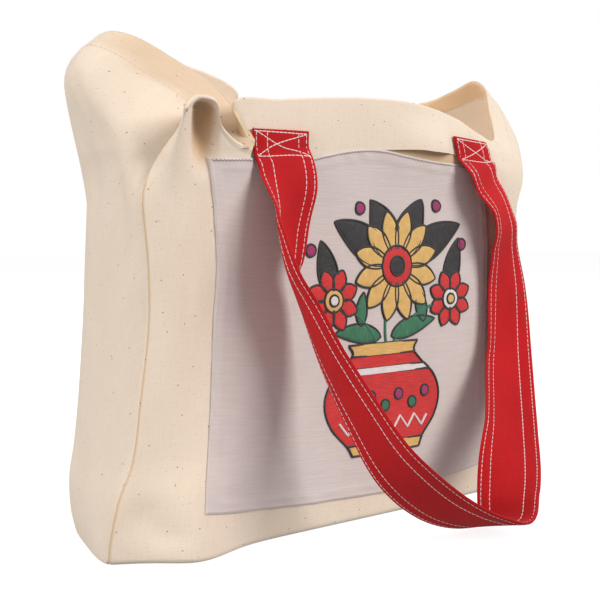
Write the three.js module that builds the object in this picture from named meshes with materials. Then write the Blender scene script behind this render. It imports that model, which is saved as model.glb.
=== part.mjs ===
// Cotton tote bag: two calico panels joined by one side-and-base strip, a linen patch and two handles.
// Millimetres, +Z up. x runs right along the front, y runs to the back, and the base rests on z = 0.
import * as THREE from 'three';

// Cloth
const CLOTH = 1.5;
const HEM_CLOTH = 2.6;
const SEAM_GAP = 0.3;

// Heights: rounded base edge, patch, start of the mouth's folds, and lower edge of the hem band
const BASE_ROUND = 5;
const BASE_ROUND_MIDDLE = 1.5;
const PATCH_BOTTOM = 26;
const NECK_Z = 248;
const BAND_Z = 286;

// Linen patch
const PATCH_CLOTH = 1.1;
const PATCH_GAP = 0.3;

// Handles
const STRAP_WIDTH = 50;
const STRAP_THICK = 2.6;
const STRAP_GAP = 0.8;
const STRAP_STEPS = 42;
const STRAP_ACROSS = 5;

// Shape of the body: fullness of the sides, and how the walls bend towards the mouth
const FULLNESS = 4;
const FRONT_SKEW = 0.35;
const MOUTH_EASE = 1.8;
const SWELL_EASE = 1.5;

// Colours and roughness
const CALICO = 0xe8d9c3;
const LINEN = 0xd5c8c5;
const RED_COTTON = 0xc81e23;
const CALICO_ROUGHNESS = 0.9;
const LINEN_ROUGHNESS = 0.8;
const RED_COTTON_ROUGHNESS = 0.85;

const table = (columns, rows) =>
  rows.map((row) => Object.fromEntries(columns.map((name, k) => [name, row[k]])));

// Sections of the body: corner places at each height, and how far each side stands out between them
const BODY = table(
  ['z', 'frontLeft', 'patchLeft', 'patchRight', 'frontRight', 'backLeft', 'backRight', 'frontY', 'backY',
    'frontBulge', 'frontFullness', 'rightBulge', 'backBulge', 'leftBulge'],
  [
    [0, -214, -152, 142, 198, -189, 188, -46, 56, 25, 9, 5, 9, 8],
    [20, -213, -150, 142, 198, -191, 188, -47, 57, 20, 8, 6, 9, 9],
    [45, -209, -147, 143, 196, -190, 187, -47, 58, 13, 6, 7, 9, 9],
    [70, -198, -142, 144, 193, -187, 186, -46, 59, 9, 4, 7, 9, 9],
    [110, -191, -138, 146, 190, -184, 184, -45, 60, 8, 4, 7, 9, 8],
    [165, -183, -134, 149, 188, -180, 182, -44, 60, 8, 4, 6, 8, 7],
    [205, -183, -134, 150, 189, -178, 182, -44, 60, 8, 4, 6, 8, 6],
    [248, -187, -138, 146, 192, -176, 182, -44, 59, 9, 4, 8, 8, 6],
  ]);

// Rim of the mouth. turn counts the sides: 0 to 1 is the front from left to right, 1 to 2 the right side,
// 2 to 3 the back and 3 to 4 the left side. swell is how far the wall below stands out.
const MOUTH = table(
  ['name', 'turn', 'x', 'y', 'z', 'swell'],
  [
    ['left seam', 0, -146, -36, 314, 0],
    ['curl ridge', 0.05, -164, -66, 313, 0],
    ['curl back', 0.095, -146, -50, 324, 0],
    ['curl right', 0.14, -132, -56, 319, 0],
    ['curl edge', 0.165, -130, -59, 304, 0],
    ['dip', 0.19, -116, -58, 291, 0],
    ['dip beside the handle', 0.215, -104, -57, 289, 0],
    ['left handle edge', 0.24, -108, -53, 321, 0],
    ['left handle', 0.31, -76, -54, 324, 1],
    ['front middle', 0.5, -5, -58, 329, 2],
    ['right of middle', 0.66, 58, -56, 328, 3],
    ['right handle', 0.78, 110, -49, 319, 4],
    ['right handle edge', 0.9, 145, -40, 309, 4],
    ['right seam', 1, 170, -35, 304, 10],
    ['right ear front', 1.3, 190, -10, 335, 18],
    ['right ear corner', 1.5, 198, 3, 355, 18],
    ['right ear', 1.65, 197, 15, 362, 14],
    ['right ear back', 1.85, 189, 34, 354, 10],
    ['back right seam', 2, 176, 52, 345, 6],
    ['back right handle', 2.25, 92, 68, 334, 6],
    ['back middle', 2.5, 0, 71, 330, 6],
    ['back left handle', 2.75, -92, 68, 334, 6],
    ['back left seam', 3, -168, 58, 356, 12],
    ['left ear back', 3.25, -178, 40, 371, 24],
    ['left ear', 3.45, -174, 20, 375, 31],
    ['left ear front', 3.58, -161, 6, 371, 33],
    ['slope', 3.7, -139, -5, 357, 28],
    ['lower slope', 3.82, -115, -22, 335, 16],
    ['tuck', 3.92, -98, -38, 306, 4],
  ]);

// Front handle from its left end to its right end. turn and lean are the direction across its width,
// in degrees round z and above the level. curl is how far each edge bends out of the flat, in degrees.
// sewn is 1 where it lies on the panel.
const STRAP_COLUMNS = ['x', 'y', 'z', 'turn', 'lean', 'curl', 'sewn'];
const FRONT_STRAP = table(STRAP_COLUMNS, [
  [-80, -55, 303, 180, 0, 0, 1],
  [-80, -57, 291, 180, 0, 0, 1],
  [-80, -61, 279, 181, 0, 0, 0],
  [-79, -65, 264, 185, 0, 8, 0],
  [-81, -68, 246, 197, 0, 22, 0],
  [-86, -71, 229, 208, 3, 40, 0],
  [-89, -79, 203, 227, 8, 44, 0],
  [-77, -85, 171, 243, 16, 30, 0],
  [-65, -99, 135, 252, 22, 14, 0],
  [-56, -122, 100, 259, 30, 4, 0],
  [-37, -138, 62, 264, 38, 0, 0],
  [3, -143, 29, 264, 36, 0, 0],
  [43, -143, 14, 262, 22, 0, 0],
  [69, -142, 12, 275, 8, 0, 0],
  [86, -135, 28, 302, 0, 0, 0],
  [119, -103, 63, 344, 0, 0, 0],
  [156, -67, 119, 352, 0, 0, 0],
  [161, -61, 177, 363, 0, 0, 0],
  [154, -64, 211, 378, 0, 0, 0],
  [147, -69, 232, 384, 0, 0, 0],
  [139, -69, 250, 385, 0, 0, 0],
  [131, -65, 266, 381, 0, 0, 0],
  [128, -60, 279, 377, 0, 0, 0],
  [126, -53, 291, 379, 0, 0, 1],
  [123, -48, 304, 380, 0, 0, 1],
]);

// Back handle, hanging plainly behind, from its right end to its left end
const BACK_STRAP = table(STRAP_COLUMNS, [
  [85, 71, 306, 0, 0, 0, 1],
  [85, 73, 293, 0, 0, 0, 1],
  [85, 78, 278, 2, 0, 0, 0],
  [84, 84, 250, 14, 0, 0, 0],
  [79, 92, 205, 42, 0, 0, 0],
  [73, 101, 160, 66, 0, 0, 0],
  [65, 107, 110, 82, 0, 0, 0],
  [50, 110, 65, 90, 0, 0, 0],
  [25, 111, 36, 90, 0, 0, 0],
  [0, 111, 28, 90, 0, 0, 0],
  [-25, 111, 36, 90, 0, 0, 0],
  [-50, 110, 65, 90, 0, 0, 0],
  [-65, 107, 110, 98, 0, 0, 0],
  [-73, 101, 160, 114, 0, 0, 0],
  [-79, 92, 205, 138, 0, 0, 0],
  [-84, 84, 250, 166, 0, 0, 0],
  [-85, 78, 278, 178, 0, 0, 0],
  [-85, 73, 293, 180, 0, 0, 1],
  [-85, 71, 306, 180, 0, 0, 1],
]);

const SIDES = [
  { from: ['frontLeft', 'frontY'], to: ['frontRight', 'frontY'], bulge: 'frontBulge', out: [0, -1] },
  { from: ['frontRight', 'frontY'], to: ['backRight', 'backY'], bulge: 'rightBulge', out: [1, 0] },
  { from: ['backRight', 'backY'], to: ['backLeft', 'backY'], bulge: 'backBulge', out: [0, 1] },
  { from: ['backLeft', 'backY'], to: ['frontLeft', 'frontY'], bulge: 'leftBulge', out: [-1, 0] },
];

const lerp = THREE.MathUtils.lerp;
const clamp = THREE.MathUtils.clamp;

// Smooth value of one column between the rows of a table, which stand at the values of another column
function smoothColumn(rows, along, column, at) {
  const last = rows.length - 1;
  let k = 0;
  while (k < last - 1 && rows[k + 1][along] < at) k += 1;
  const slope = (i) => {
    const a = rows[Math.max(i - 1, 0)];
    const b = rows[Math.min(i + 1, last)];
    return (b[column] - a[column]) / (b[along] - a[along]);
  };
  const span = rows[k + 1][along] - rows[k][along];
  const t = clamp((at - rows[k][along]) / span, 0, 1);
  const rise = rows[k + 1][column] - rows[k][column];
  const bend = (1 - t) * (slope(k) * span - rise) + t * (rise - slope(k + 1) * span);
  return rows[k][column] + t * rise + t * (1 - t) * bend;
}

// Point of the body at a turn round the bag and a height below the neck
function bodyPoint(turn, z) {
  const side = SIDES[Math.floor(turn) % SIDES.length];
  const t = turn - Math.floor(turn);
  const value = (column) => smoothColumn(BODY, 'z', column, z);
  const fold = clamp(1 - z / BASE_ROUND, 0, 1);
  const inset = BASE_ROUND * (1 - Math.sqrt(1 - fold * fold));
  const pull = (v) => v - Math.sign(v) * inset;
  const isFront = side.bulge === 'frontBulge';
  const skew = isFront ? 1 + FRONT_SKEW * (1 - 2 * t) : 1;
  const fullness = isFront ? value('frontFullness') : FULLNESS;
  const stand = value(side.bulge) * skew * (1 - Math.abs(2 * t - 1) ** fullness);
  const x = lerp(pull(value(side.from[0])), pull(value(side.to[0])), t) + side.out[0] * stand;
  const y = lerp(pull(value(side.from[1])), pull(value(side.to[1])), t) + side.out[1] * stand;
  return new THREE.Vector3(x, y, z);
}

const rimCurve = new THREE.CatmullRomCurve3(
  MOUTH.map((station) => new THREE.Vector3(station.x, station.y, station.z)), true, 'centripetal');

// Point of the rim, with the swell of the wall below it
function rimAt(turn) {
  const around = ((turn % SIDES.length) + SIDES.length) % SIDES.length;
  let k = MOUTH.length - 1;
  while (MOUTH[k].turn > around) k -= 1;
  const next = MOUTH[(k + 1) % MOUTH.length];
  const nextTurn = k + 1 < MOUTH.length ? next.turn : SIDES.length;
  const t = (around - MOUTH[k].turn) / (nextTurn - MOUTH[k].turn);
  return { point: rimCurve.getPoint((k + t) / MOUTH.length), swell: lerp(MOUTH[k].swell, next.swell, t) };
}

// Point of the bag's outer surface at a turn and a height
function skinPoint(turn, z) {
  const around = ((turn % SIDES.length) + SIDES.length) % SIDES.length;
  if (z <= NECK_Z) return bodyPoint(around, z);
  const rim = rimAt(around);
  const rise = (z - NECK_Z) / (rim.point.z - NECK_Z);
  const out = SIDES[Math.floor(around)].out;
  const stand = rim.swell * Math.sin(Math.PI * clamp(rise, 0, 1) ** SWELL_EASE);
  const point = bodyPoint(around, NECK_Z).lerp(rim.point, rise ** MOUTH_EASE);
  point.x += out[0] * stand;
  point.y += out[1] * stand;
  point.z = z;
  return point;
}

function skinNormal(turn, z) {
  const acrossStep = 0.01;
  const upStep = 1;
  const across = skinPoint(turn + acrossStep, z).sub(skinPoint(turn - acrossStep, z));
  const up = skinPoint(turn, z + upStep).sub(skinPoint(turn, z - upStep));
  return across.cross(up).normalize();
}

// Rows of the walls: level rows up to the hem band, then shares of the band up to the rim
const levelRows = [0, BASE_ROUND_MIDDLE, BASE_ROUND, 15, PATCH_BOTTOM, 42, 60, 82, 110, 140, 170, 200, 226,
  NECK_Z, 262, 275, BAND_Z];
const bandRows = [0.2, 0.45, 0.7, 0.88, 1];
const rows = [
  ...levelRows.map((z) => ({ z, band: 0 })),
  ...bandRows.map((band) => ({ z: BAND_Z, band })),
];
const rowHeight = (turn, row) => row.z + row.band * (rimAt(turn).point.z - BAND_Z);
const rowPoint = (turn, row) => skinPoint(turn, rowHeight(turn, row));

// Columns of the panels, closer together in the curl at the left and at the patch's edges
const steps = (from, to, count) => Array.from({ length: count }, (_, k) => lerp(from, to, k / count));
const PATCH_FIRST = 0.115;
const PATCH_LAST = 0.845;
const HANDLE_EDGE = 0.24;
const panelColumns = [
  ...steps(0, PATCH_FIRST, 5),
  ...steps(PATCH_FIRST, HANDLE_EDGE, 10),
  ...steps(HANDLE_EDGE, PATCH_LAST, 11),
  ...steps(PATCH_LAST, 1, 3),
  1,
];
const GUSSET_STEPS = 11;
const GUSSET_CROWDING = 1.4;
const gussetColumns = [...steps(0, 1, GUSSET_STEPS), 1].map((t) => t ** GUSSET_CROWDING);

// Turn of a front column at a height, so that the patch's edges run straight up the panel
function frontTurn(column, z) {
  const height = Math.min(z, NECK_Z);
  const left = smoothColumn(BODY, 'z', 'frontLeft', height);
  const right = smoothColumn(BODY, 'z', 'frontRight', height);
  const patchFrom = (smoothColumn(BODY, 'z', 'patchLeft', height) - left) / (right - left);
  const patchTo = (smoothColumn(BODY, 'z', 'patchRight', height) - left) / (right - left);
  const above = clamp((z - NECK_Z) / (BAND_Z - NECK_Z), 0, 1);
  const first = lerp(patchFrom, PATCH_FIRST, above);
  const last = lerp(patchTo, PATCH_LAST, above);
  if (column <= PATCH_FIRST) return lerp(0, first, column / PATCH_FIRST);
  if (column >= PATCH_LAST) return lerp(last, 1, (column - PATCH_LAST) / (1 - PATCH_LAST));
  return lerp(first, last, (column - PATCH_FIRST) / (PATCH_LAST - PATCH_FIRST));
}

const frontGrid = rows.map((row) => panelColumns.map((column) => rowPoint(frontTurn(column, row.z), row)));
const backGrid = rows.map((row) => [...panelColumns].reverse().map((column) => rowPoint(3 - column, row)));

// Point of the base between its four edges
function basePoint(column, across) {
  const floorRow = rows[0];
  const corner = (turn) => rowPoint(turn, floorRow);
  const front = corner(frontTurn(column, 0)).multiplyScalar(1 - across);
  const back = corner(3 - column).multiplyScalar(across);
  const left = corner(4 - across).multiplyScalar(1 - column);
  const right = corner(1 + across).multiplyScalar(column);
  const nearSide = corner(0).multiplyScalar(1 - column).add(corner(1).multiplyScalar(column));
  const farSide = corner(3).multiplyScalar(1 - column).add(corner(2).multiplyScalar(column));
  return front.add(back).add(left).add(right)
    .sub(nearSide.multiplyScalar(1 - across)).sub(farSide.multiplyScalar(across));
}

// The side-and-base strip runs down the right side, along the base to the left and up the left side
const gussetGrid = gussetColumns.map((across) => [
  ...[...rows].reverse().map((row) => rowPoint(1 + across, row)),
  ...[...panelColumns].reverse().slice(1, -1).map((column) => basePoint(column, across)),
  ...rows.map((row) => rowPoint(4 - across, row)),
]);

const placeOf = (p) => [p.x, p.y, p.z].map((v) => Math.round(v * 1000)).join(' ');

// Normals shared by all the grids, so that neighbouring walls thicken the same way at their seams
function sharedNormals(grids) {
  const sums = new Map();
  const addFace = (a, b, c) => {
    const normal = b.clone().sub(a).cross(c.clone().sub(a));
    for (const p of [a, b, c]) {
      const place = placeOf(p);
      if (!sums.has(place)) sums.set(place, new THREE.Vector3());
      sums.get(place).add(normal);
    }
  };
  for (const grid of grids) {
    for (let r = 0; r + 1 < grid.length; r += 1) {
      for (let c = 0; c + 1 < grid[r].length; c += 1) {
        addFace(grid[r][c], grid[r][c + 1], grid[r + 1][c + 1]);
        addFace(grid[r][c], grid[r + 1][c + 1], grid[r + 1][c]);
      }
    }
  }
  for (const sum of sums.values()) sum.normalize();
  return (p) => sums.get(placeOf(p));
}

const normalOf = sharedNormals([frontGrid, backGrid, gussetGrid]);

// Closed wall between an outer and an inner grid of the same size
function wall(outer, inner) {
  const height = outer.length;
  const width = outer[0].length;
  const points = [...outer.flat(), ...inner.flat()];
  const out = (r, c) => r * width + c;
  const back = (r, c) => height * width + r * width + c;
  const index = [];
  const quad = (a, b, c, d) => index.push(a, b, c, a, c, d);
  for (let r = 0; r + 1 < height; r += 1) {
    for (let c = 0; c + 1 < width; c += 1) {
      quad(out(r, c), out(r, c + 1), out(r + 1, c + 1), out(r + 1, c));
      index.push(back(r, c), back(r + 1, c + 1), back(r, c + 1));
      index.push(back(r, c), back(r + 1, c), back(r + 1, c + 1));
    }
  }
  for (let c = 0; c + 1 < width; c += 1) {
    quad(back(0, c), back(0, c + 1), out(0, c + 1), out(0, c));
    quad(out(height - 1, c), out(height - 1, c + 1), back(height - 1, c + 1), back(height - 1, c));
  }
  for (let r = 0; r + 1 < height; r += 1) {
    quad(out(r, 0), out(r + 1, 0), back(r + 1, 0), back(r, 0));
    quad(back(r, width - 1), back(r + 1, width - 1), out(r + 1, width - 1), out(r, width - 1));
  }
  const geometry = new THREE.BufferGeometry();
  geometry.setAttribute('position', new THREE.Float32BufferAttribute(points.flatMap((p) => p.toArray()), 3));
  geometry.setIndex(index);
  geometry.computeVertexNormals();
  return geometry;
}

// Moves a grid's sewn edges back by half a seam gap
function drawBack(grid, edges) {
  const near = (point, towards) => point.clone().lerp(towards, SEAM_GAP / 2 / point.distanceTo(towards));
  const drawn = grid.map((line) => line.map((p) => p.clone()));
  const lastRow = grid.length - 1;
  const lastColumn = grid[0].length - 1;
  if (edges.columns) {
    drawn.forEach((line) => {
      line[0] = near(line[0], line[1]);
      line[lastColumn] = near(line[lastColumn], line[lastColumn - 1]);
    });
  }
  if (edges.firstRow) drawn[0] = drawn[0].map((p, c) => near(p, drawn[1][c]));
  if (edges.lastRow) drawn[lastRow] = drawn[lastRow].map((p, c) => near(p, drawn[lastRow - 1][c]));
  return drawn;
}

const clothAt = (row) => (row.band > 0 ? HEM_CLOTH : CLOTH);

// Cloth wall of a grid, thickened inwards
function clothWall(grid, edges, thicknessAt) {
  const inside = grid.map((line, r) =>
    line.map((p, c) => p.clone().addScaledVector(normalOf(p), -thicknessAt(r, c))));
  return wall(drawBack(grid, edges), drawBack(inside, edges));
}

const panelEdges = { columns: true, firstRow: true };
const panelCloth = (r) => clothAt(rows[r]);
const stripEdges = { firstRow: true, lastRow: true };
const stripLength = gussetGrid[0].length;
const stripCloth = (r, c) => {
  const fromEnd = Math.min(c, stripLength - 1 - c);
  return fromEnd < rows.length ? clothAt(rows[rows.length - 1 - fromEnd]) : CLOTH;
};

// The patch follows the front panel's own columns and rows
function patchWall() {
  const inRows = (r) => rows[r].band === 0 && rows[r].z >= PATCH_BOTTOM;
  const tolerance = 1e-6;
  const inColumns = (c) => panelColumns[c] > PATCH_FIRST - tolerance && panelColumns[c] < PATCH_LAST + tolerance;
  const area = frontGrid.filter((_, r) => inRows(r)).map((line) => line.filter((_, c) => inColumns(c)));
  const offset = (distance) =>
    area.map((line) => line.map((p) => p.clone().addScaledVector(normalOf(p), distance)));
  return wall(offset(PATCH_GAP + PATCH_CLOTH), offset(PATCH_GAP));
}

// Turn at which a side's surface reaches a place across the bag, found by halving
function turnAt(x, z, low, high) {
  const rising = skinPoint(high, z).x > skinPoint(low, z).x;
  const halvings = 40;
  let from = low;
  let to = high;
  for (let k = 0; k < halvings; k += 1) {
    const middle = (from + to) / 2;
    const short = skinPoint(middle, z).x < x;
    if (short === rising) from = middle;
    else to = middle;
  }
  return (from + to) / 2;
}

// Handle: a flat band along its stations, lying on its panel at both sewn ends
function strapWall(stations, panelFrom, panelTo) {
  const curve = new THREE.CatmullRomCurve3(
    stations.map((s) => new THREE.Vector3(s.x, s.y, s.z)), false, 'centripetal');
  const lastStation = stations.length - 1;
  const numbered = stations.map((s, k) => ({ ...s, place: k / lastStation }));
  const faces = [STRAP_THICK / 2, -STRAP_THICK / 2].map((side) => {
    const lines = [];
    for (let k = 0; k <= STRAP_STEPS; k += 1) {
      const place = k / STRAP_STEPS;
      const value = (column) => smoothColumn(numbered, 'place', column, place);
      const turn = THREE.MathUtils.degToRad(value('turn'));
      const lean = THREE.MathUtils.degToRad(value('lean'));
      const curl = THREE.MathUtils.degToRad(value('curl'));
      const along = curve.getTangent(place);
      const directionAt = (angle) => {
        const across = new THREE.Vector3(
          Math.cos(angle) * Math.cos(lean), Math.sin(angle) * Math.cos(lean), Math.sin(lean));
        return across.addScaledVector(along, -across.dot(along)).normalize();
      };
      const sewn = clamp(value('sewn'), 0, 1);
      const line = [];
      for (let j = 0; j <= STRAP_ACROSS; j += 1) {
        const share = 2 * j / STRAP_ACROSS - 1;
        const bend = curl * share;
        const chord = bend === 0 ? 1 : Math.sin(bend / 2) / (bend / 2);
        const reach = chord * share * STRAP_WIDTH / 2;
        const middle = curve.getPoint(place).addScaledVector(directionAt(turn + bend / 2), reach);
        const point = middle.clone().addScaledVector(directionAt(turn + bend).cross(along), side);
        if (sewn > 0) {
          const turnHere = turnAt(middle.x, middle.z, panelFrom, panelTo);
          const lift = STRAP_GAP + STRAP_THICK / 2 + side;
          const seat = skinPoint(turnHere, middle.z).addScaledVector(skinNormal(turnHere, middle.z), lift);
          point.lerp(seat, sewn);
        }
        line.push(point);
      }
      lines.push(line);
    }
    return lines;
  });
  return wall(faces[0], faces[1]);
}

const bag = new THREE.Group();

function addPiece(name, geometry, color, roughness) {
  const material = new THREE.MeshStandardMaterial({ color, roughness, metalness: 0 });
  const piece = new THREE.Mesh(geometry, material);
  piece.name = name;
  bag.add(piece);
}

addPiece('front_panel', clothWall(frontGrid, panelEdges, panelCloth), CALICO, CALICO_ROUGHNESS);
addPiece('back_panel', clothWall(backGrid, panelEdges, panelCloth), CALICO, CALICO_ROUGHNESS);
addPiece('gusset', clothWall(gussetGrid, stripEdges, stripCloth), CALICO, CALICO_ROUGHNESS);
addPiece('pocket_patch', patchWall(), LINEN, LINEN_ROUGHNESS);
addPiece('front_strap', strapWall(FRONT_STRAP, HANDLE_EDGE, 1), RED_COTTON, RED_COTTON_ROUGHNESS);
addPiece('back_strap', strapWall(BACK_STRAP, 2, 3), RED_COTTON, RED_COTTON_ROUGHNESS);

export default bag;
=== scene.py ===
"""Looks of a cotton tote bag: calico body, linen patch with flowers, red handles. Metres, +Z up."""
import math

import bmesh
import bpy
import numpy as np
from mathutils import Euler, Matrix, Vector


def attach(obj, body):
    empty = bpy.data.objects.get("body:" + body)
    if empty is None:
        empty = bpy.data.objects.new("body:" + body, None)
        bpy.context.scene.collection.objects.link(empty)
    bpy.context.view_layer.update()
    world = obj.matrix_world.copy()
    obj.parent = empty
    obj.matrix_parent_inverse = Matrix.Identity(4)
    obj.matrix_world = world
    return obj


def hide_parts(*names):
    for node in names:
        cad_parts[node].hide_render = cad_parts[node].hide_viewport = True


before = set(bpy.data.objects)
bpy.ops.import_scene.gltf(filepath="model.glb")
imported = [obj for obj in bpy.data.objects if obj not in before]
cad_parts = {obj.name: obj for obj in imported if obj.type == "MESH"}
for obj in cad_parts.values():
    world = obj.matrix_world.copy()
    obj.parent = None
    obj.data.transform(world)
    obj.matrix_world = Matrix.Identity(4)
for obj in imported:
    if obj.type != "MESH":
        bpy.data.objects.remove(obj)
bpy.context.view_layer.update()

# Sizes in millimetres, as in the part's source
MM = 0.001
CLOTH = 1.5
BASE_ROUND = 5
PATCH_BOTTOM = 26
NECK_Z = 248
BAND_Z = 286
PATCH_CLOTH = 1.1
PATCH_GAP = 0.3
STRAP_WIDTH = 50
STRAP_THICK = 2.6
STRAP_GAP = 0.8

# Places across a side, whose seams are at 0 and 1. A wall ends just short of its last seam.
CORNER_TURN = 0.13
CORNER_REACH = 0.09
SWELL_TURN = 0.1
PATCH_FIRST = 0.127
PATCH_LAST = 0.845
PATCH_SPAN = PATCH_LAST - PATCH_FIRST
HANDLE_EDGE = 0.24
SHORT = 1e-6

# How full the walls stand between their seams
FULLNESS = 4
FRONT_SKEW = 0.35
SWELL_ROUND = 0.9


def table(columns, rows, rest=()):
    """Columns of a table by name. A row that ends early goes on with the last of the values in rest."""
    full = [[*row, *rest[len(rest) + len(row) - len(columns):]] for row in rows]
    return {name: np.array(values) for name, values in zip(columns, zip(*full))}


# Sections of the body: corner places at each height, and how far each side stands out between them
BODY = table([
    "z", "front_left", "patch_left", "patch_right", "front_right", "back_left", "back_right", "front_y",
    "back_y", "front_bulge", "corner_bulge", "front_fullness", "right_bulge", "back_bulge", "left_bulge",
], [
    [0, -217, -158, 142, 198, -189, 188, -44, 56, 15, 17, 6, 5, 9, 5],
    [20, -215, -156, 142, 198, -192, 188, -45, 57, 13, 14, 6, 6, 9, 8],
    [45, -209, -151, 143, 196, -192, 187, -46, 58, 11, 9, 5, 7, 9, 10],
    [70, -198, -144, 144, 193, -188, 186, -46, 59, 9, 4, 4, 7, 9, 10],
    [110, -191, -138, 146, 190, -184, 184, -45, 60, 8, 1, 4, 7, 9, 8],
    [165, -183, -134, 149, 188, -180, 182, -44, 60, 8, 0, 4, 6, 8, 7],
    [205, -183, -131, 150, 189, -178, 182, -44, 60, 8, 0, 4, 6, 8, 6],
    [248, -187, -134, 146, 192, -176, 182, -44, 59, 9, 0, 4, 8, 8, 6],
])

# Rim of the mouth. turn counts the sides: 0 to 1 is the front from left to right, 1 to 2 the right side,
# 2 to 3 the back and 3 to 4 the left side. swell is how far the wall below stands out, hold how long it keeps
# to the body's line before it leans to the rim, and crown how high up it stands out most.
USUAL_HOLD = 1.8
USUAL_CROWN = 1.5
MOUTH = table(["name", "turn", "x", "y", "z", "swell", "hold", "crown"], [
    ["left seam", 0, -134, -36, 314, 0, 2.0],
    ["curl ridge", 0.05, -166, -67, 313, 0, 1.6],
    ["curl back", 0.095, -151, -61, 322, 0],
    ["curl right", 0.14, -138, -63, 319, 0],
    ["curl edge", 0.165, -132, -60, 303, 0],
    ["dip", 0.19, -116, -58, 291, 0],
    ["dip beside the handle", 0.215, -104, -57, 289, 0],
    ["left handle edge", 0.24, -116, -53, 320, 0],
    ["left handle", 0.31, -76, -54, 324, 1],
    ["front middle", 0.5, -5, -58, 329, 2],
    ["right of middle", 0.66, 58, -56, 328, 3],
    ["right handle", 0.78, 110, -49, 319, 4],
    ["right handle edge", 0.9, 145, -40, 309, 4],
    ["right seam", 1, 170, -35, 304, 17],
    ["right ear front", 1.3, 190, -10, 335, 35],
    ["right ear corner", 1.5, 198, 3, 355, 35],
    ["right ear", 1.65, 197, 15, 362, 29],
    ["right ear back", 1.85, 189, 34, 354, 18],
    ["back right seam", 2, 176, 52, 345, 6],
    ["back right handle", 2.25, 92, 68, 334, 6],
    ["back middle", 2.5, 0, 71, 330, 6],
    ["back left handle", 2.6, -31, 66, 331, 6],
    ["back left fold", 2.63, -34, 65, 342, 6],
    ["back left rise", 2.8, -84, 63, 359, 6],
    ["back left seam", 3, -168, 58, 360, 12],
    ["left ear back", 3.25, -178, 40, 369, 24, 1.8, 2.1],
    ["left ear", 3.45, -174, 20, 373, 31, 1.8, 2.2],
    ["left ear front", 3.58, -161, 6, 368, 33, 1.8, 2.2],
    ["slope", 3.7, -140, -5, 355, 28, 1.8, 2.0],
    ["lower slope", 3.82, -115, -22, 335, 16],
    ["fold edge", 3.87, -107, -36, 319, 8],
    ["lower fold edge", 3.915, -105, -52, 303, 2, 2.1],
    ["pinch", 3.95, -105, -62, 291, 0, 2.2],
    ["tuck", 3.975, -124, -46, 293, 0, 2.3],
], (USUAL_HOLD, USUAL_CROWN))

# Lower edge of the front's hem band, which hangs loose towards its right end
BAND_EDGE = table(["x", "z"], [
    [-110, 282], [-45, 282], [-23, 286], [0, 290], [28, 292], [55, 293], [72, 292], [110, 290]])


def stations(rows):
    """Stations along a handle. turn and lean are the direction across its width, and curl is how far that
    differs between an edge and the middle, in degrees. sewn is 1 where the handle lies on the panel."""
    return table(["x", "y", "z", "turn", "lean", "curl", "sewn"], rows, (0, 0, 0))


def mirrored(half):
    """Stations from a handle's end to its middle, and on to its other end the same way."""
    other = {name: values[-2::-1] for name, values in half.items()}
    other["x"] = -other["x"]
    other["turn"] = 180 - other["turn"]
    return {name: np.append(values, other[name]) for name, values in half.items()}


FRONT_STRAP = stations([
    [-78, -55, 303, 180, 0, 0, 1],
    [-78, -57, 291, 180, 0, 0, 1],
    [-76, -61, 279, 176],
    [-77, -65, 264, 179, 0, 8],
    [-81, -68, 246, 197, 0, 22],
    [-86, -71, 229, 208, 3, 40],
    [-89, -79, 203, 227, 8, 44],
    [-77, -85, 171, 243, 16, 30],
    [-65, -99, 135, 252, 22, 14],
    [-56, -122, 100, 259, 30, 4],
    [-37, -138, 62, 264, 38],
    [4, -144, 27, 264, 36],
    [42, -152, 11, 262, 21],
    [64, -151, 9, 273, 8],
    [83, -137, 24, 290, 0, -12],
    [119, -103, 63, 345, 0, -40],
    [159, -62, 119, 352, 0, -34],
    [165, -56, 177, 363, 0, -8],
    [162, -57, 211, 378],
    [157, -62, 231, 384],
    [150, -62, 249, 385],
    [138, -61, 265, 381],
    [130, -60, 279, 377],
    [126, -53, 291, 379, 0, 0, 1],
    [121, -46, 308, 380, 0, 0, 1],
])
BACK_STRAP = mirrored(stations([
    [85, 71, 306, 0, 0, 0, 1],
    [85, 73, 293, 0, 0, 0, 1],
    [85, 78, 278, 2],
    [84, 84, 250, 14],
    [79, 92, 205, 42],
    [73, 101, 160, 66],
    [65, 107, 110, 82],
    [50, 110, 65, 90],
    [25, 111, 36, 90],
    [0, 111, 28, 90],
]))

CORNER_X = ["front_left", "front_right", "back_right", "back_left"]
CORNER_Y = ["front_y", "front_y", "back_y", "back_y"]
BULGES = ["front_bulge", "right_bulge", "back_bulge", "left_bulge"]
OUT_X = np.array([0, 1, 0, -1])
OUT_Y = np.array([-1, 0, 1, 0])
SIDES = 4
TINY = 1e-9


def smooth_column(rows, along, column, at):
    """Smooth value of a column between the rows of a table, by the values of another column."""
    x = rows[along].astype(float)
    y = rows[column].astype(float)
    slope = np.empty(len(x))
    slope[1:-1] = (y[2:] - y[:-2]) / (x[2:] - x[:-2])
    slope[0] = (y[1] - y[0]) / (x[1] - x[0])
    slope[-1] = (y[-1] - y[-2]) / (x[-1] - x[-2])
    k = np.clip(np.searchsorted(x, at) - 1, 0, len(x) - 2)
    span = x[k + 1] - x[k]
    t = np.clip((at - x[k]) / span, 0, 1)
    rise = y[k + 1] - y[k]
    bend = (1 - t) * (slope[k] * span - rise) + t * (rise - slope[k + 1] * span)
    return y[k] + t * rise + t * (1 - t) * bend


def smooth_step(value, low, high):
    """Smooth rise from 0 at low to 1 at high."""
    t = np.clip((value - low) / (high - low), 0, 1)
    return t * t * (3 - 2 * t)


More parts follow.
